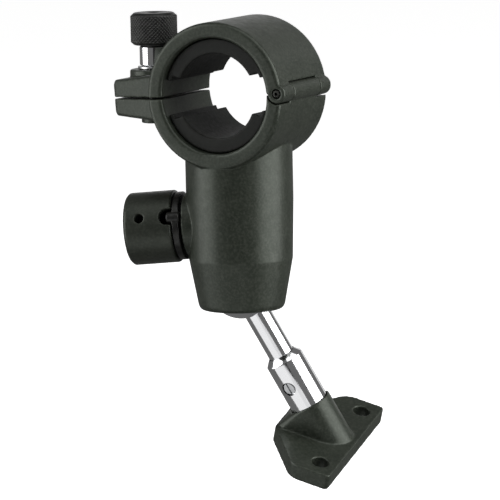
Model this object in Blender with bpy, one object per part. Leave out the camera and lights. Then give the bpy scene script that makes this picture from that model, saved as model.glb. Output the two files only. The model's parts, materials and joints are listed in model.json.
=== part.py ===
"""Umbrella swivel bracket: a hinged tube clamp over a housing that holds a lockable ball
joint, whose stem carries a small screw-on base plate.

World frame: the origin is on the clamp ring's axis, at the middle of its depth. The ring's
axis is Y, the hinge is on +X, the clamping lugs on -X, and the housing hangs down along -Z.
Sizes below are in millimetres and are scaled to metres where meshes are made.
"""
import math

import bmesh
import bpy
from mathutils import Matrix, Vector

MM = 0.001
GAP = 0.3                 # clearance between neighbouring solids

# Clamp ring
RING_R = 27.0             # outer radius
BORE_R = 21.2             # inner radius
RING_HALF = 20.0          # half of the ring's depth along Y
RING_EDGE = 0.8           # chamfer on the ring's outer and inner edges
SPLIT = 0.32              # half of the gap between cap and body
CLAMP_CLOCK = -3.3        # degrees that the clamp is turned about Y on the housing
CAP_ROUND = 48            # segments around the ring

# Hinge
HINGE_X = 25.4
KNUCKLE_R = 3.5
KNUCKLE_CLEAR = 0.45      # clearance around the knuckles
KNUCKLE_MID = 11.0        # half-length of the body's knuckle
PIN_R = 1.5
PIN_BORE_R = 0.6
PIN_HALF = 19.7

# Lugs and clamp screw
LUG_TIP_X = -47.0
LUG_ROOT_X = -24.0
LUG_TIP_HALF = 8.0        # half-width at the tip
LUG_TIP_Z = 5.8           # height at the tip
LUG_ROOT_Z = 8.6          # height at the root
SCREW_X = -34.1
SCREW_R = 3.0
TOP_BOSS_R = 9.2
TOP_BOSS_Z = 9.65
LOW_BOSS_R = 5.3
LOW_BOSS_Z = -10.5
NECK_R = 5.5
WASHER_T = 0.8
KNOB_R = 8.7
KNOB_Z = (18.7, 30.6)     # underside and top of the thumb knob
SCREW_TIP_Z = -5.6
INSERT_R = (3.6, 4.5)

# Arc pads
PAD_R = (15.6, 20.9)
PAD_STEP_R = 19.1         # radius of the step at each end
PAD_HALF = 17.6           # half of the pads' depth

# Housing
HOUSING_R = 19.8
HOUSING_LOW_R = 19.2
TAPER_Z = -61.5
FOOT_Z = -80.5
FOOT_R = 15.6
FOOT_ROUND = 2.2
CAVITY_R = 13.2
CAVITY_TOP_Z = -38.0

# Ball joint
BALL_Z = -71.7
BALL_R = 12.5
SOCKET_R = 12.8
SEAT_TOP = 15.8           # above the ball's centre
STEM_R = 4.85
STEM_TILT = 28.6          # degrees between the stem and the vertical
STEM_AZIMUTH = 36.9       # direction in which the stem leans, from +X towards +Y
SLEEVE_R = 7.25
SLEEVE_TOP = -30.1        # along the stem, from the ball's centre
SLEEVE_SHOULDER = -32.4
RIM = -51.4               # hub's rim, along the stem
HUB_DEPTH = 6.5           # how far the sleeve enters the hub
SET_SCREW = -42.0
SET_SCREW_R = 2.4
SET_SCREW_ANGLE = -94.0   # about the stem, in the plate's frame
RETAINER_TOP_Z = -75.2
RETAINER_R = 13.6
FLARE_R = 13.0            # mouth of the retainer

# Base plate, in a frame with Z along its normal, X towards its straight edge
PLATE_SPIN = -37.8        # degrees that the plate is turned about the stem
HUB_INCLINE = 41.3        # degrees between the stem and the plate's normal
HUB_R = 8.2
PLATE_TOP = -9.5          # below the centre of the hub's rim
PLATE_T = 6.1
PLATE_HOLES_X = 14.6      # from the hub's rim centre to the line of the holes
PLATE_FRONT = 6.5         # from the line of the holes to the straight edge
PLATE_BACK = 23.5         # from the line of the holes to the back edge
PLATE_HALF = 28.8
HOLE_SPACING = 42.4
HOLE_R = 3.25

# Ball lock on the housing's side, along an axis that leaves the housing at -X
LOCK_Z = -48.0
LOCK_DROOP = 4.5          # degrees below the horizontal
LOCK_TURN = 14.0          # degrees from -X towards the front
LOCK_KNOB_R = 13.4
LOCK_CUP_R = 10.9
LOCK_RIM = 23.5           # along the lock's axis
LOCK_END = 41.6
LOCK_WEB = (29.0, 32.0)      # inner and outer face of the knob's web
LOCK_SEAT = 20.6          # inner face of the spindle's flange
DOG_TIP = 25.2
LOCK_POCKET_R = 7.2
LOCK_SPINDLE_R = 4.0
CONE_ANGLE = 31.9         # half-angle of the spindle's cone tip
LOCK_BOSS_R = 12.0
FLANGE_R = 12.6
FLANGE_T = 2.5
DOG_ANGLE = 22.5          # degrees above the horizontal, on the front side
DOG_R = 2.2
DOG_OFFSET = 11.1
NOTCH_R = 3.05
NOTCH_DEPTH = 4.4
BAR_HOLE_R = 1.8
END_SCREW_DEPTH = 3.2     # from the knob's outer face to the underside of the screw's head
BAR_HOLE_S = 35.3

# Colours (linear RGB), roughness and metallic value of each finish
FINISHES = {
    "satin_black": ((0.045, 0.046, 0.040), 0.5, 0.0),
    "pad_black": ((0.030, 0.031, 0.028), 0.7, 0.0),
    "polished_steel": ((0.78, 0.79, 0.80), 0.15, 1.0),
    "plain_steel": ((0.55, 0.56, 0.57), 0.35, 1.0),
    "brass": ((0.72, 0.56, 0.25), 0.35, 1.0),
    "nylon": ((0.75, 0.74, 0.70), 0.55, 0.0),
}

CLAMP = Matrix.Rotation(math.radians(CLAMP_CLOCK), 4, "Y")
ALONG_Y = Matrix.Rotation(math.radians(90), 4, "X")
LOCK = (Matrix.Translation((0, 0, LOCK_Z * MM))
        @ Matrix.Rotation(math.radians(LOCK_TURN), 4, "Z")
        @ Matrix.Rotation(math.radians(-90 - LOCK_DROOP), 4, "Y"))
DOG_TURN = Matrix.Rotation(math.radians(DOG_ANGLE - 90), 4, "Z")
STEM = (Matrix.Translation((0, 0, BALL_Z * MM))
        @ Matrix.Rotation(math.radians(STEM_AZIMUTH), 4, "Z")
        @ Matrix.Rotation(math.radians(-STEM_TILT), 4, "Y")
        @ Matrix.Rotation(math.radians(PLATE_SPIN), 4, "Z"))
PLATE = (STEM @ Matrix.Translation((0, 0, RIM * MM))
         @ Matrix.Rotation(math.radians(HUB_INCLINE), 4, "Y"))


# ---------------------------------------------------------------- building blocks

def clear_scene():
    for item in list(bpy.data.objects):
        bpy.data.objects.remove(item, do_unlink=True)


def material(finish):
    found = bpy.data.materials.get(finish)
    if found:
        return found
    colour, roughness, metallic = FINISHES[finish]
    made = bpy.data.materials.new(finish)
    made.use_nodes = True
    shader = made.node_tree.nodes["Principled BSDF"]
    shader.inputs["Base Color"].default_value = (*colour, 1.0)
    shader.inputs["Roughness"].default_value = roughness
    shader.inputs["Metallic"].default_value = metallic
    return made


def finish_mesh(name, bm, frame, finish):
    """Turn a bmesh in millimetres into an object in metres, placed by its frame."""
    bmesh.ops.scale(bm, vec=(MM, MM, MM), verts=bm.verts)
    bmesh.ops.recalc_face_normals(bm, faces=bm.faces)
    mesh = bpy.data.meshes.new(name)
    bm.to_mesh(mesh)
    bm.free()
    mesh.shade_smooth()
    mesh.set_sharp_from_angle(angle=math.radians(30))
    made = bpy.data.objects.new(name, mesh)
    made.matrix_world = frame
    bpy.context.collection.objects.link(made)
    if finish:
        mesh.materials.append(material(finish))
    else:
        made.hide_render = True
        made.display_type = "WIRE"
    return made


def lathe(name, profile, frame, finish=None, segments=24):
    """Turn a profile of (radius, z) points about Z. A profile that starts and ends on the
    axis is solid; any other is closed on itself and makes a ring."""
    bm = bmesh.new()
    rings = []
    for radius, z in profile:
        count = segments if radius > 0 else 1
        rings.append([bm.verts.new((radius * math.cos(math.tau * i / segments),
                                    radius * math.sin(math.tau * i / segments), z))
                      for i in range(count)])
    pairs = list(zip(rings, rings[1:]))
    if profile[0][0] > 0:
        pairs.append((rings[-1], rings[0]))
    for low, high in pairs:
        if len(low) + len(high) == segments + 1 and low[0].co.z == high[0].co.z:
            bm.faces.new(low if len(low) > 1 else high)
            continue
        for i in range(segments):
            j = (i + 1) % segments
            corners = [low[i % len(low)], low[j % len(low)],
                       high[j % len(high)], high[i % len(high)]]
            corners = list(dict.fromkeys(corners))
            if len(corners) > 2:
                bm.faces.new(corners)
    bmesh.ops.delete(bm, geom=[v for v in bm.verts if not v.link_faces], context="VERTS")
    return finish_mesh(name, bm, frame, finish)


def rod(name, radius, low, high, frame, finish=None, segments=32, chamfer=0.0):
    profile = [(0, low), (radius - chamfer, low), (radius, low + chamfer),
               (radius, high - chamfer), (radius - chamfer, high), (0, high)]
    return lathe(name, list(dict.fromkeys(profile)), frame, finish, segments)


def prism(name, outline, low, high, frame, finish=None):
    """Extrude an outline of (x, y) points along Z."""
    bm = bmesh.new()
    face = bm.faces.new([bm.verts.new((x, y, low)) for x, y in outline])
    made = bmesh.ops.extrude_face_region(bm, geom=[face])
    lifted = [v for v in made["geom"] if isinstance(v, bmesh.types.BMVert)]
    bmesh.ops.translate(bm, vec=(0, 0, high - low), verts=lifted)
    return finish_mesh(name, bm, frame, finish)


def box(name, low, high, frame, finish=None):
    (x0, y0, z0), (x1, y1, z1) = low, high
    return prism(name, [(x0, y0), (x1, y0), (x1, y1), (x0, y1)], z0, z1, frame, finish)


def hull(name, points, frame, finish=None):
    bm = bmesh.new()
    for point in points:
        bm.verts.new(point)
    made = bmesh.ops.convex_hull(bm, input=bm.verts)
    loose = {v for v in made["geom_interior"] if isinstance(v, bmesh.types.BMVert)}
    loose |= {v for v in bm.verts if not v.link_faces}
    bmesh.ops.delete(bm, geom=list(loose), context="VERTS")
    return finish_mesh(name, bm, frame, finish)


def combine(target, tool, operation):
    step = target.modifiers.new(tool.name, "BOOLEAN")
    step.operation = operation
    step.solver = "EXACT"
    step.object = tool


def add(target, *tools):
    for tool in tools:
        combine(target, tool, "UNION")


def cut(target, *tools):
    for tool in tools:
        combine(target, tool, "DIFFERENCE")


def arc(radius, start, end, steps, centre=(0.0, 0.0)):
    """Points along an arc, with angles in degrees."""
    angles = [math.radians(start + (end - start) * i / steps) for i in range(steps + 1)]
    return [(centre[0] + radius * math.cos(a), centre[1] + radius * math.sin(a))
            for a in angles]


# ---------------------------------------------------------------- clamp

def ring_profile(outer, inner, half, edge):
    return [(inner + edge, -half), (outer - edge, -half), (outer, -half + edge),
            (outer, half - edge), (outer - edge, half), (inner + edge, half),
            (inner, half - edge), (inner, -half + edge)]


def lug_points(side):
    """Corners of one clamping lug; side is +1 for the cap's and -1 for the body's."""
    points = []
    for x, half, height in ((LUG_TIP_X, LUG_TIP_HALF, LUG_TIP_Z),
                            (LUG_TIP_X + 1.0, LUG_TIP_HALF + 1.2, LUG_TIP_Z + 0.9),
                            (LUG_ROOT_X, RING_HALF - 1.0, LUG_ROOT_Z)):
        for y in (-half, half):
            points.append((x, y, side * SPLIT))
            points.append((x, y, side * (height - 0.8)))
            points.append((x, y * (1 - 1.0 / half), side * height))
    return points


def knuckle(name, low, high):
    return rod(name, KNUCKLE_R, low, high, hinge_frame(), segments=20, chamfer=0.3)


def hinge_frame():
    return CLAMP @ Matrix.Translation((HINGE_X * MM, 0, 0)) @ ALONG_Y


def screw_frame():
    """The thumbscrew stands parallel to the housing, square to neither lug."""
    return Matrix.Translation(CLAMP @ Vector((SCREW_X * MM, 0, 0)))


def bore_cutter(name):
    return rod(name, BORE_R, -RING_HALF - 2, RING_HALF + 2, ALONG_Y, segments=CAP_ROUND)


def clamp_cap():
    cap = lathe("clamp_cap", ring_profile(RING_R, BORE_R, RING_HALF, RING_EDGE),
                CLAMP @ ALONG_Y, "satin_black", CAP_ROUND)
    cut(cap, box("cap_split", (-60, -30, -40), (60, 30, SPLIT), CLAMP))
    lug = hull("cap_lug", lug_points(1), CLAMP)
    boss = rod("cap_boss", TOP_BOSS_R, 2.0, TOP_BOSS_Z, screw_frame(), chamfer=0.4)
    outer = KNUCKLE_MID + GAP
    front = knuckle("cap_knuckle_front", outer, RING_HALF - 0.2)
    rear = knuckle("cap_knuckle_rear", -RING_HALF + 0.2, -outer)
    add(cap, lug, boss, front, rear)
    cut(cap, bore_cutter("cap_bore"),
        knuckle_block("cap_notch", KNUCKLE_R + KNUCKLE_CLEAR, BORE_R - 4, outer))
    cut(cap, rod("cap_pin_hole", PIN_R + GAP, -30, 30, hinge_frame(), segments=20))
    cut(cap, rod("cap_screw_hole", SCREW_R + GAP, -2, 20, screw_frame(), segments=24))


def clamp_body():
    body = lathe("clamp_body", ring_profile(RING_R, BORE_R, RING_HALF, RING_EDGE),
                 CLAMP @ ALONG_Y, "satin_black", CAP_ROUND)
    cut(body, box("body_split", (-60, -30, -SPLIT), (60, 30, 40), CLAMP))
    lug = hull("body_lug", lug_points(-1), CLAMP)
    boss = rod("body_boss", LOW_BOSS_R, LOW_BOSS_Z, -3.0, screw_frame(), chamfer=0.3)
    barrel = lathe("housing_barrel", housing_profile(), Matrix.Identity(4), segments=40)
    lock_boss = rod("lock_boss", LOCK_BOSS_R, 14.0, LOCK_SEAT - 0.7, LOCK, chamfer=0.3)
    add(body, lug, boss, barrel, lock_boss)
    cut(body, bore_cutter("body_bore"))
    outer = KNUCKLE_MID + GAP
    clear_r = KNUCKLE_R + KNUCKLE_CLEAR
    for name, low, high in (("body_notch_front", outer - GAP, 30.0),
                            ("body_notch_rear", -30.0, -outer + GAP)):
        cut(body, rod(name, clear_r, low, high, hinge_frame(), segments=20))
    add(body, knuckle_block("body_knuckle", KNUCKLE_R, BORE_R + 0.4, KNUCKLE_MID))
    cut(body, rod("body_pin_hole", PIN_R + GAP, -30, 30, hinge_frame(), segments=20))
    cut(body, rod("insert_hole", INSERT_R[1] + GAP, -20, 2, screw_frame(), segments=24))
    cut(body, rod("cavity", CAVITY_R, FOOT_Z - 2, CAVITY_TOP_Z, Matrix.Identity(4)))
    cut(body, rod("retainer_seat", RETAINER_R + GAP, FOOT_Z - 2, RETAINER_TOP_Z + GAP,
                  Matrix.Identity(4)))
    cut(body, rod("spindle_hole", LOCK_SPINDLE_R + GAP, 2, 30, LOCK, segments=24))


def knuckle_block(name, radius, inner, half):
    """Rounded block around the hinge's axis, reaching in towards the bore."""
    tilt = math.degrees(math.asin(radius / inner))
    outline = (arc(radius, -90, 90, 14, (HINGE_X, 0.0)) + arc(inner, tilt, -tilt, 5))
    return prism(name, outline, -half, half, CLAMP @ ALONG_Y)


def housing_profile():
    """Outline of the housing, from its top inside the ring down to its rounded foot."""
    slope = (HOUSING_LOW_R - FOOT_R) / (TAPER_Z - FOOT_Z)
    lean = math.degrees(math.atan(slope))
    centre = (FOOT_R - FOOT_ROUND + 0.4, FOOT_Z + FOOT_ROUND)
    foot = arc(FOOT_ROUND, -lean, -90.0, 5, centre)
    return [(0, -8.0), (HOUSING_R, -8.0), (HOUSING_R, -40.0),
            (HOUSING_LOW_R, TAPER_Z), *foot, (0, FOOT_Z)]


def hinge_pin():
    lathe("hinge_pin", [(PIN_BORE_R, -PIN_HALF), (PIN_R - 0.2, -PIN_HALF),
                        (PIN_R, -PIN_HALF + 0.3), (PIN_R, PIN_HALF - 0.3),
                        (PIN_R - 0.2, PIN_HALF), (PIN_BORE_R, PIN_HALF)],
          hinge_frame(), "plain_steel", 16)


def arc_pad(name, start):
    """Curved jaw pad with a stepped end at each side, spanning about 140 degrees."""
    outline = (arc(PAD_R[1], start + 18, start + 162, 22)
               + arc(PAD_STEP_R, start + 162, start + 156, 1)
               + arc(PAD_R[0], start + 154, start + 26, 20)
               + arc(PAD_STEP_R, start + 24, start + 18, 1))
    prism(name, outline, -PAD_HALF, PAD_HALF, CLAMP @ ALONG_Y, "pad_black")


def clamp_screw():
    """Thumbscrew: steel shank with its neck, knurled knob pressed on, washer and insert."""
    neck = TOP_BOSS_Z + 2 * GAP + WASHER_T
    head = KNOB_Z[0] - GAP
    spigot = KNOB_Z[1] - 4.0
    lathe("thumbscrew_shank", [(0, SCREW_TIP_Z), (SCREW_R - 0.8, SCREW_TIP_Z),
                               (SCREW_R, SCREW_TIP_Z + 0.8), (SCREW_R, neck),
                               (NECK_R - 0.3, neck), (NECK_R, neck + 0.3), (NECK_R, head),
                               (SCREW_R + 0.5, head), (SCREW_R + 0.5, spigot), (0, spigot)],
          screw_frame(), "polished_steel", 28)
    hole = SCREW_R + 0.5 + GAP
    low, high = KNOB_Z
    lathe("thumbscrew_knob", [(hole, low), (KNOB_R - 1.0, low), (KNOB_R, low + 1.0),
                              (KNOB_R, high - 1.2), (KNOB_R - 1.2, high), (0, high)]
          + [(0, spigot + GAP), (hole, spigot + GAP)], screw_frame(), "satin_black")
    lathe("screw_washer", [(SCREW_R + GAP, TOP_BOSS_Z + GAP), (6.2, TOP_BOSS_Z + GAP),
                           (6.2, neck - GAP), (SCREW_R + GAP, neck - GAP)],
          screw_frame(), "plain_steel", 24)
    inner, outer = INSERT_R
    lathe("lug_insert", [(inner, LOW_BOSS_Z + 0.3), (outer, LOW_BOSS_Z + 0.3),
                         (outer, -SPLIT - 0.3), (inner, -SPLIT - 0.3)],
          screw_frame(), "brass", 20)


# ---------------------------------------------------------------- ball joint

def sphere_arc(radius, low, high, steps):
    """Profile of a sphere about the origin between two heights, from low to high."""
    start = math.asin(max(-1.0, low / radius))
    end = math.asin(min(1.0, high / radius))
    angles = [start + (end - start) * i / steps for i in range(steps + 1)]
    return [(radius * math.cos(a), radius * math.sin(a)) for a in angles]


def ball_stem():
    """Polished ball and the thin rod below it, in one piece."""
    neck_z = -math.sqrt(BALL_R ** 2 - STEM_R ** 2)
    ball = sphere_arc(BALL_R, neck_z, BALL_R, 12)[:-1]
    end = RIM + 3.0
    lathe("ball_stem", [(0, end), (STEM_R - 0.5, end), (STEM_R, end + 0.5), *ball,
                        (0, BALL_R)], STEM, "polished_steel", 32)


def stem_sleeve():
    """Chamfered sleeve that joins the rod to the base plate's hub."""
    inner = STEM_R + GAP
    low = RIM - HUB_DEPTH + GAP
    sleeve = lathe("stem_sleeve", [(0, low), (SLEEVE_R - 0.4, low), (SLEEVE_R, low + 0.4),
                                   (SLEEVE_R, SLEEVE_SHOULDER), (inner + 0.1, SLEEVE_TOP),
                                   (inner, SLEEVE_TOP), (inner, RIM + 2.4), (0, RIM + 2.4)],
                   STEM, "polished_steel", 32)
    cut(sleeve, rod("set_screw_hole", SET_SCREW_R + GAP, STEM_R - 1, 12, set_screw_frame(),
                    segments=20))


def set_screw_frame():
    """Frame with Z pointing out of the sleeve at the set screw."""
    return (STEM @ Matrix.Translation((0, 0, SET_SCREW * MM))
            @ Matrix.Rotation(math.radians(SET_SCREW_ANGLE), 4, "Z")
            @ Matrix.Rotation(math.radians(90), 4, "Y"))


def set_screw():
    low = STEM_R + GAP + 0.1
    screw = rod("sleeve_set_screw", SET_SCREW_R, low, SLEEVE_R - 0.45, set_screw_frame(),
                "plain_steel", 28, 0.2)
    cut(screw, box("set_screw_slot", (-0.35, -4, SLEEVE_R - 1.2), (0.35, 4, 10),
                   set_screw_frame()))


def swivel_seat():
    """Nylon seat that bears on the top of the ball."""
    mouth = 2.4
    top = SEAT_TOP
    cup = sphere_arc(SOCKET_R, mouth, SOCKET_R, 6)[:-1]
    seat = [(0, top), (CAVITY_R - GAP, top), (CAVITY_R - GAP, mouth), *cup, (0, SOCKET_R)]
    lathe("swivel_seat", seat, ball_frame(), "nylon", 28)


def ball_frame():
    return Matrix.Translation((0, 0, BALL_Z * MM))


def wedge_plunger():
    """Steel plunger with a slanted top, pushed down by the lock spindle's cone."""
    low = BALL_Z + SEAT_TOP + GAP
    radius = CAVITY_R - GAP
    plunger = rod("wedge_plunger", radius, low, CAVITY_TOP_Z - 0.5, Matrix.Identity(4),
                  "plain_steel", 28)
    slant = LOCK @ Matrix.Translation((-1.5 * MM, 0, 3.5 * MM)) @ Matrix.Rotation(
        math.radians(90 - CONE_ANGLE), 4, "Y")
    cut(plunger, box("plunger_slant", (-40, -20, 0), (40, 20, 40), slant))


def ball_retainer():
    """Threaded ring that closes the housing's foot and carries the ball's lower half."""
    top = RETAINER_TOP_Z - BALL_Z
    foot = FOOT_Z + 0.3 - BALL_Z
    lip = -5.6
    socket = sphere_arc(SOCKET_R, lip, top, 3)
    lathe("ball_retainer", [(RETAINER_R, top), (RETAINER_R, foot), (FLARE_R, foot), *socket],
          ball_frame(), "satin_black", 32)


# ---------------------------------------------------------------- base plate

def plate_half_outline():
    """Corners of the plate's +Y half: (x, y, radius of the rounding)."""
    front = PLATE_HOLES_X + PLATE_FRONT
    back = PLATE_HOLES_X - PLATE_BACK
    return [(front, PLATE_HALF, 1.6), (front - 15.0, PLATE_HALF, 7.0), (back, 8.6, 5.0)]


def rounded_outline(corners, steps=6):
    """Closed outline through corners of (x, y, radius), each rounded with an arc."""
    points = []
    for index, (x, y, radius) in enumerate(corners):
        here = Vector((x, y))
        before = (Vector(corners[index - 1][:2]) - here).normalized()
        after = (Vector(corners[(index + 1) % len(corners)][:2]) - here).normalized()
        half = before.angle(after) / 2
        centre = here + (before + after).normalized() * (radius / math.sin(half))
        start = here + before * (radius / math.tan(half)) - centre
        end = here + after * (radius / math.tan(half)) - centre
        turn = start.angle_signed(end)
        for step in range(steps + 1):
            spoke = start.copy()
            spoke.rotate(Matrix.Rotation(-turn * step / steps, 2))
            points.append(tuple(centre + spoke))
    return points


def base_plate():
    """D-shaped plate with two screw holes and an inclined hub."""
    half = plate_half_outline()
    mirrored = [(x, -y, radius) for x, y, radius in reversed(half)]
    outline = rounded_outline(half + mirrored)
    plate = prism("base_plate", outline, PLATE_TOP - PLATE_T, PLATE_TOP, PLATE, "satin_black")
    add(plate, hub())
    cut(plate, rod("hub_bore", SLEEVE_R + GAP, RIM - HUB_DEPTH, RIM + 20, STEM))
    for side in (-1, 1):
        hole = (PLATE @ Matrix.Translation((PLATE_HOLES_X * MM, side * HOLE_SPACING / 2 * MM, 0)))
        cut(plate, rod("plate_hole_%d" % (side + 1), HOLE_R, -40, 5, hole, segments=20))


def hub():
    """Inclined hub: the hull of its rim and of an oblong foot on the plate."""
    incline = math.radians(HUB_INCLINE)
    rim = [(HUB_R * math.cos(a) * math.cos(incline), HUB_R * math.sin(a),
            HUB_R * math.cos(a) * math.sin(incline))
           for a in (math.tau * i / 40 for i in range(40))]
    foot_z = PLATE_TOP - 1.0
    centre_x = -foot_z * math.tan(incline)
    reach = HUB_R / math.cos(incline)
    front = [(centre_x + reach * math.cos(a), (HUB_R + 0.3) * math.sin(a), foot_z)
             for a in (math.pi * (i / 20 - 0.5) for i in range(21))]
    back_x = PLATE_HOLES_X - PLATE_BACK + 0.3
    back = [(back_x, y, foot_z) for y in (-HUB_R + 1.0, HUB_R - 1.0)]
    back += [(back_x + 2.0, y, foot_z) for y in (-HUB_R - 0.3, HUB_R + 0.3)]
    return hull("hub", rim + front + back, PLATE)


# ---------------------------------------------------------------- ball lock

def dog_frame():
    """Frame of the drive dog: parallel to the lock's axis, on the flange's edge."""
    return LOCK @ DOG_TURN @ Matrix.Translation((DOG_OFFSET * MM, 0, 0))


def lock_spindle():
    """Spindle with its cone tip, flange and the dog that drives the knob."""
    seat = LOCK_SEAT
    end = LOCK_END - 6.4
    spindle = lathe("lock_spindle", [(0, 3.5), (1.2, 3.5), (LOCK_SPINDLE_R, 8.0),
                                     (LOCK_SPINDLE_R, seat), (FLANGE_R, seat),
                                     (FLANGE_R, seat + FLANGE_T),
                                     (LOCK_SPINDLE_R, seat + FLANGE_T),
                                     (LOCK_SPINDLE_R, end), (2.8, end), (2.8, end - 4.0),
                                     (0, end - 4.0)],
                    LOCK, "plain_steel", 28)
    add(spindle, rod("drive_dog", DOG_R, seat - 0.4, DOG_TIP, dog_frame(), segments=20,
                     chamfer=0.4))


def lock_knob():
    """Cup-shaped knob: skirt with a driving notch, web, spring pocket and bar hole."""
    bore = LOCK_SPINDLE_R + GAP
    low, high = LOCK_WEB
    edge = 1.0
    knob = lathe("lock_knob", [(LOCK_CUP_R, LOCK_RIM), (LOCK_KNOB_R - 0.4, LOCK_RIM),
                               (LOCK_KNOB_R, LOCK_RIM + 0.4), (LOCK_KNOB_R, LOCK_END - edge),
                               (LOCK_KNOB_R - edge, LOCK_END), (LOCK_POCKET_R, LOCK_END),
                               (LOCK_POCKET_R, high), (bore, high), (bore, low),
                               (LOCK_CUP_R, low)], LOCK, "satin_black", 40)
    notch = dog_frame()
    bottom = LOCK_RIM + NOTCH_DEPTH - NOTCH_R
    slot_end = rod("notch_end", NOTCH_R, -6, 8, notch @ Matrix.Translation((0, 0, bottom * MM))
                   @ Matrix.Rotation(math.radians(90), 4, "Y"), segments=20)
    slot = box("notch", (-5, -NOTCH_R, LOCK_RIM - 3), (8, NOTCH_R, bottom), notch)
    bar = rod("bar_hole", BAR_HOLE_R, -20, 20,
              LOCK @ DOG_TURN @ Matrix.Translation((0, 0, BAR_HOLE_S * MM))
              @ Matrix.Rotation(math.radians(90), 4, "Y"), segments=20)
    cut(knob, slot, slot_end, bar)


def knob_end_screw():
    """Screw in the spindle's end that holds the return spring."""
    low, high = LOCK_END - END_SCREW_DEPTH, LOCK_END - 1.0
    tip = LOCK_END - 10.0
    lathe("knob_end_screw", [(0, tip), (2.5, tip), (2.5, low), (6.6, low), (6.6, high),
                             (1.6, high), (1.6, high - 1.4), (0, high - 1.4)],
          LOCK, "plain_steel", 24)


def knob_spring():
    """Return spring around the spindle, between the knob's web and the end screw."""
    radius, wire, turns = 5.6, 0.5, 3.0
    low = LOCK_WEB[1] + wire + GAP
    high = LOCK_END - END_SCREW_DEPTH - wire - GAP
    steps = 36
    bm = bmesh.new()
    loops = []
    for i in range(steps + 1):
        t = i / steps
        angle = math.tau * turns * t
        z = low + (high - low) * t
        out = Vector((math.cos(angle), math.sin(angle), 0))
        loops.append([bm.verts.new(Vector((0, 0, z)) + out * (radius + wire * math.cos(b))
                                   + Vector((0, 0, wire * math.sin(b))))
                      for b in (math.tau * k / 6 for k in range(6))])
    for first, second in zip(loops, loops[1:]):
        for k in range(6):
            m = (k + 1) % 6
            bm.faces.new((first[k], first[m], second[m], second[k]))
    bm.faces.new(loops[0])
    bm.faces.new(loops[-1])
    finish_mesh("knob_spring", bm, LOCK, "plain_steel")


def main():
    clear_scene()
    clamp_body()
    clamp_cap()
    hinge_pin()
    arc_pad("upper_pad", 0)
    arc_pad("lower_pad", 180)
    clamp_screw()
    ball_stem()
    stem_sleeve()
    set_screw()
    swivel_seat()
    wedge_plunger()
    ball_retainer()
    base_plate()
    lock_spindle()
    lock_knob()
    knob_end_screw()
    knob_spring()


main()
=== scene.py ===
"""Looks of the umbrella swivel bracket: soft-edged black castings, a diamond-knurled thumb
knob, polished ball, stem and sleeve, and a plain pale studio, all built on the CAD frame.

Lengths are in millimetres unless a name says otherwise, and MM turns them into metres. A
piece with a frame of its own has its mesh in that frame, with Z along its axis.
"""

import json
import math

import bmesh
import bpy
import numpy as np
from mathutils import Matrix, Vector


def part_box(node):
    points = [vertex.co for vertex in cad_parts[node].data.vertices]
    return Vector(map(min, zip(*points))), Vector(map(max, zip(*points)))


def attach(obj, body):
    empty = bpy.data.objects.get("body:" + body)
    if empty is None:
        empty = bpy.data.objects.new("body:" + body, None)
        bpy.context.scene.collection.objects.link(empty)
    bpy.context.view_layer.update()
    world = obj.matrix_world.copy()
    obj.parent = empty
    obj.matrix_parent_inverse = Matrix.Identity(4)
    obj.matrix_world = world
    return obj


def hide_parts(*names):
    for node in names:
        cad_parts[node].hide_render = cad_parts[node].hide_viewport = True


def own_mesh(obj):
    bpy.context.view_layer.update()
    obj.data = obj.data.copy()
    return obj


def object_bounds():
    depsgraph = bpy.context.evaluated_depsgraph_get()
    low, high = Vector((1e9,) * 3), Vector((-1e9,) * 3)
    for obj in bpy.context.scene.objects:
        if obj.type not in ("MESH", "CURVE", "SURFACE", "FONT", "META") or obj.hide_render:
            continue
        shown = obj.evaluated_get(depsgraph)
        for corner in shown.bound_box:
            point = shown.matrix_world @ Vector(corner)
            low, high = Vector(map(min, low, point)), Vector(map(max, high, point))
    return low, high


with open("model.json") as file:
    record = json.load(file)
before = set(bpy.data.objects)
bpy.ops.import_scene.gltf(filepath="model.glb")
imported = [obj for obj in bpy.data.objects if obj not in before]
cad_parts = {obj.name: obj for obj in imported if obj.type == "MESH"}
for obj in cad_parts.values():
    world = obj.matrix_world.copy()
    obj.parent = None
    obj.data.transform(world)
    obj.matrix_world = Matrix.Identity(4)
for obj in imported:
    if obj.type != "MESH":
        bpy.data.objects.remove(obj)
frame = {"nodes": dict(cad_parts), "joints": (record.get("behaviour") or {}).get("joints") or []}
CAD_BOX = [list(corner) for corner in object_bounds()]

MM = 0.001

# Round surfaces that the castings share with the CAD parts, along and about their own axes
RING_R, BORE_R, RING_HALF = 27.0, 21.2, 20.0
RING_EDGE = 0.9           # left to the smoothing at each end of the ring
PAD_RADII = (15.6, 19.1, 20.9)
PAD_HALF = 17.6
KNUCKLE_R = 3.5
CAP_BOSS_R, CAP_BOSS_LOW, CAP_BOSS_TOP = 9.2, 2.0, 9.65
LUG_BOSS_R, LUG_BOSS_LOW, LUG_BOSS_TOP = 5.3, -10.5, -5.0
HOUSING_PROFILE = [(-78.7, 15.96), (-61.5, 19.2), (-40.0, 19.8), (-20.0, 19.8)]
LOCK_BOSS_R, LOCK_BOSS_LOW, LOCK_BOSS_TOP = 12.0, 14.0, 19.6
LOCK_KNOB_R, LOCK_RIM, LOCK_END = 13.4, 23.5, 41.6
LOCK_CUP_R, LOCK_CUP_FLOOR = 10.9, 28.8
LOCK_POCKET_R, LOCK_POCKET_FLOOR = 7.2, 32.2
FLANGE_R, FLANGE_LOW, FLANGE_TOP = 12.6, 20.5, 23.2
SPINDLE_R, SPINDLE_LOW, SPINDLE_TOP = 4.0, 8.2, 36.0
HUB_BORE_R, HUB_LOW, HUB_TOP = 7.55, -57.5, -46.0

# Hinge pin, along the hinge's axis
PIN_R, PIN_BORE_R, PIN_HALF, PIN_SLIT = 1.5, 0.6, 19.7, 0.28

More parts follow.
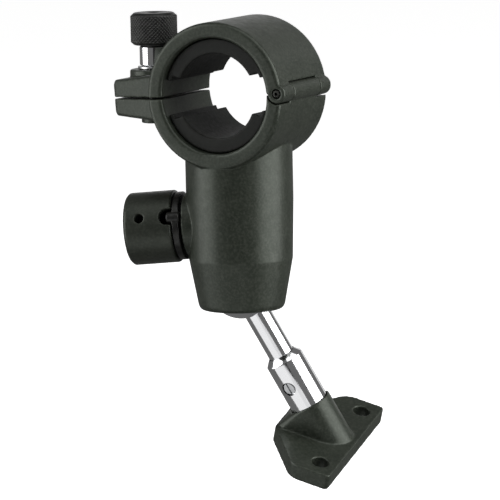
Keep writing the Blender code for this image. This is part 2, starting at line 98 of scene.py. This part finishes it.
# Clamp screw, along its own axis
SHANK_R, NECK_R = 3.0, 5.5
SHANK_TIP, NECK_LOW, NECK_TOP, SPIGOT_TOP = -5.6, 11.05, 18.4, 26.6
GRIP_R, GRIP_LOW, GRIP_TOP = 8.7, 18.7, 30.6
GRIP_BORE_R = 3.8
KNURL_TEETH = 40          # diamonds around the grip
KNURL_DEPTH = 0.42
KNURL_PITCH = 1.36        # height of one diamond
KNURL_ROWS = 56           # rows of points up the knurl

# Washer under the neck and insert in the lower lug, along the screw's axis
WASHER_R, WASHER_BORE_R, WASHER_LOW, WASHER_TOP = 6.2, 3.3, 9.95, 10.75
INSERT_R, INSERT_BORE_R, INSERT_LOW, INSERT_TOP = 4.5, 3.6, -10.2, -0.62

# Ball, stem and sleeve, along the stem from the ball's centre
BALL_R, STEM_R, STEM_END = 12.5, 4.85, -48.4
SLEEVE_R, SLEEVE_BORE_R = 7.25, 5.15
SLEEVE_LOW, SLEEVE_SHOULDER, SLEEVE_TOP, SLEEVE_FLOOR = -57.6, -32.4, -30.1, -49.0
SET_SCREW_R = 2.4

# Retaining ring round the ball, along the swivel's axis
RETAINER_R, SOCKET_R = 13.6, 12.8
RETAINER_LOW, RETAINER_LIP, RETAINER_TOP = -8.5, -5.6, -3.5

# Ball lock's end screw and spring, along the lock's axis
END_SCREW_R, END_SCREW_LOW, END_SCREW_TOP = 6.6, 38.4, 40.6
END_SCREW_SHANK_R, END_SCREW_TIP, HEX_R = 2.5, 31.6, 1.9
SPRING_R, SPRING_WIRE = 5.6, 0.5
SPRING_LOW, SPRING_HIGH, SPRING_TURNS = 32.8, 37.6, 3.5

# Camera: where the photograph was taken from
CAMERA_AZIMUTH, CAMERA_ELEVATION, CAMERA_ROLL = 26.5, 7.5, 1.2    # degrees
CAMERA_DISTANCE = 1600.0
VIEW_WIDTH = 183.65       # width of the picture at the object
VIEW_RIGHT, VIEW_UP = 3.37, -58.3    # the picture's centre, from the origin
SENSOR = 36.0             # width of the camera's sensor

# Studio, in metres, watts and degrees
LIGHTS = (                # name, azimuth from the camera's, elevation, distance, size, power
    ("key", 70, 14, 1.0, (1.05, 1.3), 17.5),
    ("fill", -80, 12, 1.0, (0.8, 1.3), 9.5),
    ("top", 20, 70, 1.0, (1.0, 0.8), 3.6),
    ("rim", 165, 12, 1.2, (1.2, 0.6), 1.4),
    ("bounce", -29, -40, 0.8, (1.3, 0.5), 1.6),
)
LIGHT_AIM = Vector((0, 0, -0.06))
WORLD_STRENGTH = 0.14
FLOOR_DROP, FLOOR_RADIUS, FLOOR_GLOW = 0.045, 12.0, 0.86
FLAG_SIZE, FLAG_DISTANCE, FLAG_AZIMUTH = (0.42, 1.6), 1.2, -2

# Edges that turn by more than this stay sharp, on turned pieces and on the knurl
SHARP, SHARP_KNURL = math.radians(35), math.radians(60)


# ---------------------------------------------------------------- frames from the record

JOINTS = {joint["name"]: joint for joint in frame["joints"]}


def upright(origin, axis, towards=(0.0, 0.0, 1.0)):
    """Frame at origin with Z along axis and X as near as it can be to a direction."""
    z = Vector(axis).normalized()
    x = Vector(towards) - z * Vector(towards).dot(z)
    x = x.normalized() if x.length > 1e-3 else z.orthogonal().normalized()
    made = Matrix((x, z.cross(x), z)).transposed().to_4x4()
    made.translation = Vector(origin)
    return made


def joint_frame(name, towards=(0.0, 0.0, 1.0)):
    return upright(JOINTS[name]["pos_m"], JOINTS[name]["axis"], towards)


RING = upright((0, 0, 0), (0, 1, 0))
HOUSING = Matrix.Identity(4)
HINGE = joint_frame("cap_hinge")
SCREW = joint_frame("screw_turn", (1, 0, 0))
LOCK = joint_frame("lock_turn")
BALL = joint_frame("ball_swivel", (1, 0, 0))
STEM = joint_frame("stem_turn")


def direction(azimuth, elevation):
    """Direction from the bracket, in degrees, with azimuth as the camera's."""
    a, e = math.radians(azimuth), math.radians(elevation)
    return Vector((math.sin(a) * math.cos(e), -math.cos(a) * math.cos(e), math.sin(e)))


def centre_of(node):
    low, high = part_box(node)
    return (low + high) / 2


def across(axis_frame, point):
    """Frame on an axis, level with a point, with Z pointing out through that point."""
    local = axis_frame.inverted() @ Vector(point)
    foot = axis_frame @ Vector((0, 0, local.z))
    return upright(foot, Vector(point) - foot, axis_frame.to_3x3() @ Vector((0, 0, 1)))


# ---------------------------------------------------------------- finishes

class Nodes:
    """Short calls for making one material's nodes."""

    def __init__(self, name, colour, roughness, metallic=0.0):
        self.material = bpy.data.materials.new(name)
        self.material.use_nodes = True
        self.tree = self.material.node_tree
        self.shader = self.tree.nodes["Principled BSDF"]
        self.shader.inputs["Base Color"].default_value = (*colour, 1.0)
        self.shader.inputs["Roughness"].default_value = roughness
        self.shader.inputs["Metallic"].default_value = metallic
        self.place = self.add("ShaderNodeTexCoord").outputs["Object"]

    def add(self, kind, **inputs):
        node = self.tree.nodes.new(kind)
        for name, value in inputs.items():
            self.set(node, name.replace("_", " "), value)
        return node

    def set(self, node, name, value):
        socket = node.inputs[name]
        if isinstance(value, bpy.types.NodeSocket):
            self.tree.links.new(value, socket)
        else:
            socket.default_value = value

    def noise(self, size, detail=3.0, stretch=(1.0, 1.0, 1.0)):
        """Noise whose features are about size millimetres wide."""
        scaled = self.add("ShaderNodeMapping", Vector=self.place, Scale=stretch)
        made = self.add("ShaderNodeTexNoise", Vector=scaled.outputs["Vector"],
                        Scale=1.0 / (size * MM), Detail=detail)
        return made.outputs["Fac"]

    def ramp(self, value, low, high, first, last):
        """Map a value between low and high onto the range from first to last."""
        made = self.add("ShaderNodeMapRange", Value=value)
        for name, number in (("From Min", low), ("From Max", high),
                             ("To Min", first), ("To Max", last)):
            self.set(made, name, number)
        return made.outputs["Result"]

    def mix(self, factor, first, second):
        made = self.tree.nodes.new("ShaderNodeMix")
        made.data_type = "RGBA"
        self.tree.links.new(factor, made.inputs[0])
        for index, colour in ((6, first), (7, second)):
            if isinstance(colour, bpy.types.NodeSocket):
                self.tree.links.new(colour, made.inputs[index])
            else:
                made.inputs[index].default_value = (*colour, 1.0)
        return made.outputs[2]

    def bump(self, layers):
        """Bump from (height, strength, depth in millimetres) layers, coarse to fine."""
        normal = None
        for height, strength, depth in layers:
            made = self.add("ShaderNodeBump", Height=height, Strength=strength,
                            Distance=depth * MM)
            if normal:
                self.tree.links.new(normal, made.inputs["Normal"])
            normal = made.outputs["Normal"]
        self.set(self.shader, "Normal", normal)

    def edges(self, low, high, amount):
        """Share of colour along convex edges, from the mesh's own pointiness: wear on the
        knurl's crests, painted highlight on the castings' edges.
        """
        geometry = self.add("ShaderNodeNewGeometry")
        return self.ramp(geometry.outputs["Pointiness"], low, high, 0.0, amount)


def powder_coat(name, dark, light, speck_and_edge_highlight, roughness, grain=0.45, strength=0.35):
    """Powder coat on a casting: fine orange peel, uneven tone, and a painted highlight that
    lightens its edges.
    """
    made = Nodes(name, dark, roughness)
    made.shader.inputs["Specular IOR Level"].default_value = 0.4
    made.shader.inputs["Specular Tint"].default_value = (0.92, 1.0, 0.89, 1.0)
    cloud = made.ramp(made.noise(9.0, 4.0), 0.35, 0.65, 0.0, 1.0)
    speck = made.ramp(made.noise(0.9, 5.0), 0.42, 0.68, 0.0, 0.55)
    tone = made.mix(speck, made.mix(cloud, dark, light), speck_and_edge_highlight)
    # Painted highlight: convex edges, found by pointiness, are mixed towards the lighter third
    # colour.
    with_edge_highlight = made.mix(made.edges(0.515, 0.60, 0.6), tone, speck_and_edge_highlight)
    made.set(made.shader, "Base Color", with_edge_highlight)
    gloss = made.ramp(made.noise(2.4, 3.0), 0.3, 0.7, roughness - 0.05, roughness + 0.06)
    made.set(made.shader, "Roughness", gloss)
    made.bump([(made.noise(1.5, 2.0), strength * 0.5, 0.05),
               (made.noise(grain, 3.0), strength, 0.035)])
    return made.material


def polished(name, colour, roughness, scratch=0.05):
    """Plated or turned steel: faint lathe lines round the piece and a little haze."""
    made = Nodes(name, colour, roughness, 1.0)
    lines = made.noise(0.35, 4.0, (0.02, 0.02, 1.0))
    haze = made.ramp(made.noise(3.0, 4.0), 0.3, 0.75, roughness * 0.8, roughness * 1.5)
    made.set(made.shader, "Roughness", haze)
    smudge = made.ramp(made.noise(6.0, 3.0), 0.4, 0.75, 0.0, 0.25)
    made.set(made.shader, "Base Color",
             made.mix(smudge, colour, tuple(0.86 * c for c in colour)))
    made.bump([(lines, scratch, 0.02)])
    return made.material


def oxide(name, dark, crest, roughness):
    """Black oxide on knurled steel, worn lighter on the diamonds' crests."""
    made = Nodes(name, dark, roughness, 0.35)
    tone = made.mix(made.ramp(made.noise(2.0, 4.0), 0.35, 0.7, 0.0, 0.5), dark, crest)
    made.set(made.shader, "Base Color", made.mix(made.edges(0.53, 0.66, 0.9), tone, crest))
    made.set(made.shader, "Roughness",
             made.ramp(made.noise(0.8, 3.0), 0.3, 0.7, roughness - 0.06, roughness + 0.1))
    made.bump([(made.noise(0.25, 2.0), 0.15, 0.02)])
    return made.material


def moulded(name, colour, pale, roughness, grain, specular=0.5):
    """Matt moulded plastic or rubber with a fine, even grain."""
    made = Nodes(name, colour, roughness)
    made.shader.inputs["Specular IOR Level"].default_value = specular
    made.set(made.shader, "Base Color",
             made.mix(made.ramp(made.noise(4.0, 4.0), 0.35, 0.7, 0.0, 0.7), colour, pale))
    made.set(made.shader, "Roughness",
             made.ramp(made.noise(1.2, 3.0), 0.3, 0.7, roughness - 0.05, roughness + 0.08))
    made.bump([(made.noise(grain, 3.0), 0.3, 0.03)])
    return made.material


# The third colour gives both the random specks and the painted highlight along the edges.
CAST = powder_coat("cast_black", (0.0120, 0.0152, 0.0108), (0.0180, 0.0218, 0.0160),
                   (0.046, 0.050, 0.041), 0.37)
KNOB = powder_coat("knob_black", (0.0125, 0.0145, 0.0112), (0.0185, 0.0205, 0.0162),
                   (0.036, 0.039, 0.032), 0.36, 0.6, 0.15)
OXIDE = oxide("knurled_black", (0.008, 0.008, 0.0075), (0.038, 0.039, 0.035), 0.34)
PAD = moulded("pad_black", (0.005, 0.0058, 0.0045), (0.009, 0.010, 0.008), 0.50, 0.4, 0.2)
CHROME = polished("polished_steel", (0.88, 0.885, 0.90), 0.09)
STEEL = polished("pin_steel", (0.55, 0.56, 0.57), 0.26, 0.25)
DARK_STEEL = polished("dark_steel", (0.045, 0.046, 0.042), 0.36, 0.25)
BRASS = polished("brass", (0.72, 0.52, 0.22), 0.24, 0.25)
NYLON = moulded("nylon", (0.70, 0.69, 0.64), (0.76, 0.75, 0.71), 0.50, 0.7)


# ---------------------------------------------------------------- making pieces

def mesh_from(name, bm):
    mesh = bpy.data.meshes.new(name)
    bm.to_mesh(mesh)
    bm.free()
    return mesh


def link(name, data, place=None):
    made = bpy.data.objects.new(name, data)
    bpy.context.scene.collection.objects.link(made)
    if place:
        made.matrix_world = place
    return made


def apply_modifiers(piece):
    graph = bpy.context.evaluated_depsgraph_get()
    made = bpy.data.meshes.new_from_object(piece.evaluated_get(graph))
    piece.modifiers.clear()
    piece.data = made


def settle(piece, nodes, body, finish):
    """Give a finished piece its material, hide the CAD parts it stands for and attach it to its
    body.
    """
    piece.data.materials.clear()
    piece.data.materials.append(finish)
    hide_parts(*nodes)
    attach(piece, body)


def draw_onto(points, axis_frame, profile, reach=0.15):
    """Move points that lie within reach of a round surface exactly onto it. The profile
    lists (height, radius) along the frame's Z."""
    inverse = np.array(axis_frame.inverted())
    local = (points @ inverse[:3, :3].T + inverse[:3, 3]) / MM
    heights, radii = zip(*profile)
    distance = np.hypot(local[:, 0], local[:, 1])
    target = np.interp(local[:, 2], heights, radii)
    near = (np.abs(distance - target) < reach) & (local[:, 2] > heights[0])
    near &= local[:, 2] < heights[-1]
    local[near, :2] *= (target[near] / distance[near])[:, None]
    forward = np.array(axis_frame)
    return (local * MM) @ forward[:3, :3].T + forward[:3, 3]


def casting(name, node, body, finish, voxel, surfaces, passes, keep=0.5):
    """Soft-edged copy of a CAD part: remeshed finely, drawn onto its true round surfaces,
    then smoothed in passes, which rounds its edges and fillets its inner corners. Keep is
    the share of the faces that is left."""
    bm = bmesh.new()
    bm.from_mesh(frame["nodes"][node].data)
    bmesh.ops.remove_doubles(bm, verts=bm.verts, dist=1e-6)
    piece = link(name, mesh_from(name, bm))
    remesh = piece.modifiers.new("remesh", "REMESH")
    remesh.mode = "VOXEL"
    remesh.voxel_size = voxel * MM
    apply_modifiers(piece)
    points = np.zeros(len(piece.data.vertices) * 3)
    piece.data.vertices.foreach_get("co", points)
    points = points.reshape(-1, 3)
    for axis_frame, profile in surfaces:
        points = draw_onto(points, axis_frame, profile)
    piece.data.vertices.foreach_set("co", points.ravel())
    smooth = piece.modifiers.new("smooth", "SMOOTH")
    smooth.factor = 0.5
    smooth.iterations = passes
    if keep < 1:
        piece.modifiers.new("decimate", "DECIMATE").ratio = keep
    apply_modifiers(piece)
    piece.data.shade_smooth()
    settle(piece, [node], body, finish)


def cylinder(radius, low, high):
    return [(low, radius), (high, radius)]


def softened(profile, radius, steps=4):
    """Round the corners of an open profile of (radius, height) points."""
    points = [profile[0]]
    for before, here, after in zip(profile, profile[1:], profile[2:]):
        corner = Vector(here)
        back, on = Vector(before) - corner, Vector(after) - corner
        reach = min(radius, 0.45 * back.length, 0.45 * on.length)
        start, end = corner + back.normalized() * reach, corner + on.normalized() * reach
        for step in range(steps + 1):
            t = step / steps
            points.append(tuple(start * (1 - t) ** 2 + corner * 2 * t * (1 - t) + end * t ** 2))
    return points + [profile[-1]]


def turned_mesh(name, profile, segments=128, relief=None):
    """Mesh of a profile of (radius, height) points turned about Z. It closes at its poles
    when the profile starts and ends on the axis, and otherwise closes on itself. Relief
    takes an angle, a radius and a height, and gives how far the surface is cut in there."""
    bm = bmesh.new()
    rings = []
    for radius, height in profile:
        ring = []
        for index in range(segments if radius > 0 else 1):
            angle = math.tau * index / segments
            reach = radius - (relief(angle, radius, height) if relief else 0.0)
            ring.append(bm.verts.new((reach * math.cos(angle) * MM,
                                      reach * math.sin(angle) * MM, height * MM)))
        rings.append(ring)
    pairs = list(zip(rings, rings[1:]))
    if profile[0][0] > 0:
        pairs.append((rings[-1], rings[0]))
    for low, high in pairs:
        for index in range(segments):
            after = (index + 1) % segments
            corners = [low[index % len(low)], low[after % len(low)],
                       high[after % len(high)], high[index % len(high)]]
            corners = list(dict.fromkeys(corners))
            if len(corners) > 2:
                bm.faces.new(corners)
    bmesh.ops.recalc_face_normals(bm, faces=bm.faces)
    mesh = mesh_from(name, bm)
    mesh.shade_smooth()
    mesh.set_sharp_from_angle(angle=SHARP)
    return mesh


def turned(name, profile, place, soft=0.2, segments=128):
    return link(name, turned_mesh(name, softened(profile, soft), segments), place)


def cut_away(piece, *tools):
    """Cut tools out of a piece, and remove them."""
    for tool in tools:
        step = piece.modifiers.new(tool.name, "BOOLEAN")
        step.operation = "DIFFERENCE"
        step.solver = "EXACT"
        step.object = tool
    bpy.context.view_layer.update()
    apply_modifiers(piece)
    piece.data.set_sharp_from_angle(angle=SHARP)
    for tool in tools:
        bpy.data.objects.remove(tool)


def rod_tool(radius, low, high, place, segments=64):
    profile = [(0, low), (radius, low), (radius, high), (0, high)]
    return link("tool", turned_mesh("tool", profile, segments), place)


def slab_tool(size, middle, place):
    """Box of a size, centred on a point of a frame."""
    bm = bmesh.new()
    bmesh.ops.create_cube(bm, size=MM)
    bmesh.ops.scale(bm, vec=size, verts=bm.verts)
    bmesh.ops.translate(bm, vec=Vector(middle) * MM, verts=bm.verts)
    return link("tool", mesh_from("tool", bm), place)


# ---------------------------------------------------------------- the bracket's pieces

def clamp_castings():
    end = RING_HALF - RING_EDGE
    ring = [(RING, cylinder(RING_R, -end, end)),
            (RING, cylinder(BORE_R, -end, end)),
            (HINGE, cylinder(KNUCKLE_R, -RING_HALF, RING_HALF))]
    cap_boss = (SCREW, cylinder(CAP_BOSS_R, CAP_BOSS_LOW, CAP_BOSS_TOP - 0.4))
    lug_boss = (SCREW, cylinder(LUG_BOSS_R, LUG_BOSS_LOW + 0.4, LUG_BOSS_TOP))
    lock_boss = (LOCK, cylinder(LOCK_BOSS_R, LOCK_BOSS_LOW, LOCK_BOSS_TOP))
    casting("clamp_cap_casting", "clamp_cap", "cap", CAST, voxel=0.38,
            surfaces=ring + [cap_boss], passes=4)
    casting("clamp_body_casting", "clamp_body", "body", CAST, voxel=0.38,
            surfaces=ring + [lug_boss, (HOUSING, HOUSING_PROFILE), lock_boss], passes=4)


def jaw_pads():
    surfaces = [(RING, cylinder(radius, -PAD_HALF - 1, PAD_HALF + 1)) for radius in PAD_RADII]
    for node, body in (("upper_pad", "cap"), ("lower_pad", "body")):
        casting("moulded_" + node, node, body, PAD, voxel=0.3,
                surfaces=surfaces, passes=5, keep=0.4)


def hinge_pin():
    """Rolled spring pin: a split tube with chamfered ends."""
    edge = PIN_R - 0.3
    pin = turned("rolled_hinge_pin",
                 [(PIN_BORE_R, -PIN_HALF), (edge, -PIN_HALF), (PIN_R, -PIN_HALF + 0.35),
                  (PIN_R, PIN_HALF - 0.35), (edge, PIN_HALF), (PIN_BORE_R, PIN_HALF)],
                 HINGE, 0.08, 48)
    cut_away(pin, slab_tool((3.0, PIN_SLIT, 50.0), (-1.6, 0, 0), HINGE))
    settle(pin, ["hinge_pin"], "body", DARK_STEEL)


def thumbscrew():
    shank = turned("clamp_screw", [(0, SHANK_TIP), (SHANK_R - 0.8, SHANK_TIP),
                                   (SHANK_R, SHANK_TIP + 0.8), (SHANK_R, NECK_LOW),
                                   (NECK_R - 0.4, NECK_LOW), (NECK_R, NECK_LOW + 0.4),
                                   (NECK_R, NECK_TOP - 0.5), (NECK_R - 0.5, NECK_TOP),
                                   (SHANK_R + 0.5, NECK_TOP), (SHANK_R + 0.5, SPIGOT_TOP),
                                   (0, SPIGOT_TOP)], SCREW, 0.15)
    settle(shank, ["thumbscrew_shank"], "thumbscrew", CHROME)
    settle(knurled_grip(), ["thumbscrew_knob"], "thumbscrew", OXIDE)


def diamond(angle, radius, height):
    """Depth of the knurl's two crossing sets of grooves."""
    if radius < GRIP_R - 0.05 or not GRIP_LOW + 1.0 <= height <= GRIP_TOP - 1.2:
        return 0.0
    round_way = KNURL_TEETH * angle / math.tau
    along = (height - GRIP_LOW) / KNURL_PITCH
    ridges = [abs(2 * ((round_way + side * along) % 1.0) - 1) for side in (-1, 1)]
    return KNURL_DEPTH * (1.0 - min(1.0, 1.35 * min(ridges)))


def knurled_grip():
    low, high = GRIP_LOW + 1.0, GRIP_TOP - 1.2
    wall = [(GRIP_R, low + (high - low) * row / KNURL_ROWS) for row in range(KNURL_ROWS + 1)]
    profile = ([(GRIP_BORE_R, GRIP_LOW), (GRIP_R - 1.3, GRIP_LOW),
                (GRIP_R - 1.1, GRIP_LOW + 0.1), (GRIP_R - 0.4, low - 0.25)] + wall
               + [(GRIP_R - 0.4, high + 0.3), (GRIP_R - 1.3, GRIP_TOP - 0.1),
                  (GRIP_R - 1.6, GRIP_TOP), (2.2, GRIP_TOP), (1.9, GRIP_TOP - 0.25),
                  (0, GRIP_TOP - 0.25), (0, SPIGOT_TOP + 0.3), (GRIP_BORE_R, SPIGOT_TOP + 0.3)])
    mesh = turned_mesh("knurled_grip", profile, KNURL_TEETH * 8, diamond)
    mesh.set_sharp_from_angle(angle=SHARP_KNURL)
    return link("knurled_grip", mesh, SCREW)


def tube(radius, bore, low, high):
    return [(bore, low), (radius, low), (radius, high), (bore, high)]


def clamp_fittings():
    washer = turned("flat_washer", tube(WASHER_R, WASHER_BORE_R, WASHER_LOW, WASHER_TOP),
                    SCREW, 0.12, 96)
    settle(washer, ["screw_washer"], "washer", STEEL)
    insert = turned("threaded_insert", tube(INSERT_R, INSERT_BORE_R, INSERT_LOW, INSERT_TOP),
                    SCREW, 0.12, 64)
    settle(insert, ["lug_insert"], "body", BRASS)


def ball_profile(steps=40):
    """Half outline of the ball, from where the stem leaves it up to its top."""
    start = math.asin(-math.sqrt(BALL_R ** 2 - STEM_R ** 2) / BALL_R)
    angles = [start + (math.pi / 2 - start) * step / steps for step in range(steps)]
    return [(BALL_R * math.cos(a), BALL_R * math.sin(a)) for a in angles] + [(0, BALL_R)]


def ball_and_sleeve():
    rod = softened([(0, STEM_END), (STEM_R - 0.5, STEM_END), (STEM_R, STEM_END + 0.5),
                    ball_profile()[0]], 0.2)
    ball = link("polished_ball_stem",
                turned_mesh("polished_ball_stem", rod[:-1] + ball_profile()), STEM)
    settle(ball, ["ball_stem"], "stem", CHROME)
    sleeve = turned("polished_sleeve",
                    [(0, SLEEVE_LOW), (SLEEVE_R - 0.4, SLEEVE_LOW),
                     (SLEEVE_R, SLEEVE_LOW + 0.4), (SLEEVE_R, SLEEVE_SHOULDER),
                     (SLEEVE_BORE_R + 0.1, SLEEVE_TOP), (SLEEVE_BORE_R, SLEEVE_TOP - 0.1),
                     (SLEEVE_BORE_R, SLEEVE_FLOOR), (0, SLEEVE_FLOOR)], STEM, 0.25)
    hole = across(STEM, centre_of("sleeve_set_screw"))
    cut_away(sleeve, rod_tool(SET_SCREW_R + 0.3, STEM_R - 1, 12, hole))
    settle(sleeve, ["stem_sleeve"], "foot", CHROME)
    screw = turned("slotted_set_screw",
                   [(0, STEM_R + 0.4), (SET_SCREW_R - 0.1, STEM_R + 0.4),
                    (SET_SCREW_R, STEM_R + 0.6), (SET_SCREW_R, SLEEVE_R - 0.75),
                    (SET_SCREW_R - 0.3, SLEEVE_R - 0.45), (0, SLEEVE_R - 0.45)],
                   hole, 0.1, 64)
    cut_away(screw, slab_tool((6.0, 0.7, 2.0), (0, 0, SLEEVE_R - 0.2), hole))
    settle(screw, ["sleeve_set_screw"], "foot", STEEL)


def retainer():
    """Ring in the housing's foot that carries the ball's lower half."""
    first, last = (math.asin(z / SOCKET_R) for z in (RETAINER_LIP, RETAINER_TOP))
    angles = [first] + [first + (last - first) * (step + 1) / 8 for step in range(8)]
    inner = [(SOCKET_R * math.cos(a), SOCKET_R * math.sin(a)) for a in angles]
    ring = turned("retaining_ring",
                  [(RETAINER_R, RETAINER_TOP), (RETAINER_R, RETAINER_LOW),
                   (RETAINER_R - 0.6, RETAINER_LOW), *inner], BALL, 0.12)
    settle(ring, ["ball_retainer"], "body", CAST)


def base_plate():
    casting("base_plate_casting", "base_plate", "foot", CAST, voxel=0.36,
            surfaces=[(STEM, cylinder(HUB_BORE_R, HUB_LOW, HUB_TOP))], passes=5)


def ball_lock():
    knob = [(LOCK, cylinder(LOCK_KNOB_R, LOCK_RIM + 0.5, LOCK_END - 1.1)),
            (LOCK, cylinder(LOCK_CUP_R, LOCK_RIM, LOCK_CUP_FLOOR)),
            (LOCK, cylinder(LOCK_POCKET_R, LOCK_POCKET_FLOOR, LOCK_END))]
    casting("lock_knob_cup", "lock_knob", "knob", KNOB, voxel=0.28,
            surfaces=knob, passes=6)
    spindle = [(LOCK, cylinder(FLANGE_R, FLANGE_LOW, FLANGE_TOP)),
               (LOCK, cylinder(SPINDLE_R, SPINDLE_LOW, SPINDLE_TOP))]
    # The spindle's very dark oxide finish is partly its own black oxide and partly painted shade
    # for the shadowed gap between the knob and the housing.
    casting("flanged_spindle", "lock_spindle", "spindle", OXIDE, voxel=0.25,
            surfaces=spindle, passes=4)
    screw = turned("socket_end_screw",
                   [(0, END_SCREW_TIP), (END_SCREW_SHANK_R, END_SCREW_TIP),
                    (END_SCREW_SHANK_R, END_SCREW_LOW), (END_SCREW_R, END_SCREW_LOW),
                    (END_SCREW_R, END_SCREW_TOP), (0, END_SCREW_TOP)], LOCK, 0.25, 96)
    cut_away(screw, rod_tool(HEX_R, END_SCREW_TOP - 1.6, END_SCREW_TOP + 2, LOCK, 6))
    settle(screw, ["knob_end_screw"], "spindle", DARK_STEEL)
    coil_spring()


def coil_spring():
    """Return spring, wound as one round wire."""
    steps, sides = 200, 12
    spokes = [math.tau * side / sides for side in range(sides)]
    bm = bmesh.new()
    loops = []
    for step in range(steps + 1):
        angle = math.tau * SPRING_TURNS * step / steps
        middle = Vector((0, 0, SPRING_LOW + (SPRING_HIGH - SPRING_LOW) * step / steps))
        out = Vector((math.cos(angle), math.sin(angle), 0))
        loops.append([bm.verts.new((middle + out * (SPRING_R + SPRING_WIRE * math.cos(a))
                                    + Vector((0, 0, SPRING_WIRE * math.sin(a)))) * MM)
                      for a in spokes])
    for first, second in zip(loops, loops[1:]):
        for side in range(sides):
            after = (side + 1) % sides
            bm.faces.new((first[side], first[after], second[after], second[side]))
    bm.faces.new(loops[0])
    bm.faces.new(loops[-1])
    bmesh.ops.recalc_face_normals(bm, faces=bm.faces)
    mesh = mesh_from("coil_spring", bm)
    mesh.shade_smooth()
    spring = link("coil_spring", mesh, LOCK)
    settle(spring, ["knob_spring"], "spindle", STEEL)
    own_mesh(spring)


def hidden_parts():
    """Inner parts keep their CAD meshes, with their own finishes."""
    for node, finish in (("swivel_seat", NYLON), ("wedge_plunger", STEEL)):
        mesh = frame["nodes"][node].data
        mesh.materials.clear()
        mesh.materials.append(finish)


# ---------------------------------------------------------------- studio

def camera():
    azimuth, roll = math.radians(CAMERA_AZIMUTH), math.radians(-CAMERA_ROLL)
    right = Vector((math.cos(azimuth), math.sin(azimuth), 0))
    back = direction(CAMERA_AZIMUTH, CAMERA_ELEVATION)
    up = back.cross(right)
    centre = (right * VIEW_RIGHT + up * VIEW_UP) * MM
    rolled = right * math.cos(roll) + up * math.sin(roll)
    place = Matrix((rolled, back.cross(rolled), back)).transposed().to_4x4()
    place.translation = centre + back * CAMERA_DISTANCE * MM
    data = bpy.data.cameras.new("camera")
    data.sensor_width = SENSOR
    data.lens = SENSOR * CAMERA_DISTANCE / VIEW_WIDTH
    data.clip_end = 50.0
    bpy.context.scene.camera = link("camera", data, place)


def area_light(name, azimuth, elevation, distance, size, power):
    """Soft rectangular light that points at the bracket."""
    back = direction(azimuth, elevation)
    data = bpy.data.lights.new(name, "AREA")
    data.shape = "RECTANGLE"
    data.size, data.size_y = size
    data.energy = power
    made = link(name, data, Matrix.Translation(back * distance + LIGHT_AIM))
    made.rotation_euler = back.to_track_quat("Z", "Y").to_euler()


def flag():
    """Dark card in front of the camera, which doesn't see it. Polished steel mirrors the
    card as a dark line."""
    bm = bmesh.new()
    bmesh.ops.create_grid(bm, x_segments=1, y_segments=1, size=0.5)
    bmesh.ops.scale(bm, vec=(*FLAG_SIZE, 1.0), verts=bm.verts)
    mesh = mesh_from("flag", bm)
    back = direction(CAMERA_AZIMUTH + FLAG_AZIMUTH, 0)
    card = link("flag", mesh, Matrix.Translation(back * FLAG_DISTANCE))
    card.rotation_euler = back.to_track_quat("Z", "Y").to_euler()
    mesh.materials.append(moulded("flag_black", (0.004,) * 3, (0.006,) * 3, 0.9, 3.0))
    card.visible_camera = False
    card.visible_shadow = False


def pale_floor():
    """Floor that glows evenly, and neither lights nor shades the bracket."""
    bm = bmesh.new()
    bmesh.ops.create_circle(bm, cap_ends=True, radius=FLOOR_RADIUS, segments=96)
    mesh = mesh_from("floor", bm)
    floor = link("floor", mesh, Matrix.Translation((0, 0, CAD_BOX[0][2] - FLOOR_DROP)))
    pale = moulded("pale_floor", (0.80, 0.80, 0.80), (0.84, 0.84, 0.84), 0.85, 3.0)
    shader = pale.node_tree.nodes["Principled BSDF"]
    shader.inputs["Emission Color"].default_value = (1.0, 1.0, 1.0, 1.0)
    shader.inputs["Emission Strength"].default_value = FLOOR_GLOW
    mesh.materials.append(pale)
    floor.visible_diffuse = False
    floor.visible_glossy = False
    floor.visible_shadow = False


def studio():
    world = bpy.data.worlds.new("studio")
    world.use_nodes = True
    background = world.node_tree.nodes["Background"]
    background.inputs["Color"].default_value = (1.0, 1.0, 0.99, 1.0)
    background.inputs["Strength"].default_value = WORLD_STRENGTH
    bpy.context.scene.world = world
    for name, azimuth, *rest in LIGHTS:
        area_light(name, CAMERA_AZIMUTH + azimuth, *rest)
    pale_floor()
    flag()


def main():
    bpy.context.scene.view_settings.view_transform = "Standard"
    clamp_castings()
    jaw_pads()
    hinge_pin()
    thumbscrew()
    clamp_fittings()
    ball_and_sleeve()
    retainer()
    base_plate()
    ball_lock()
    hidden_parts()
    camera()
    studio()


main()
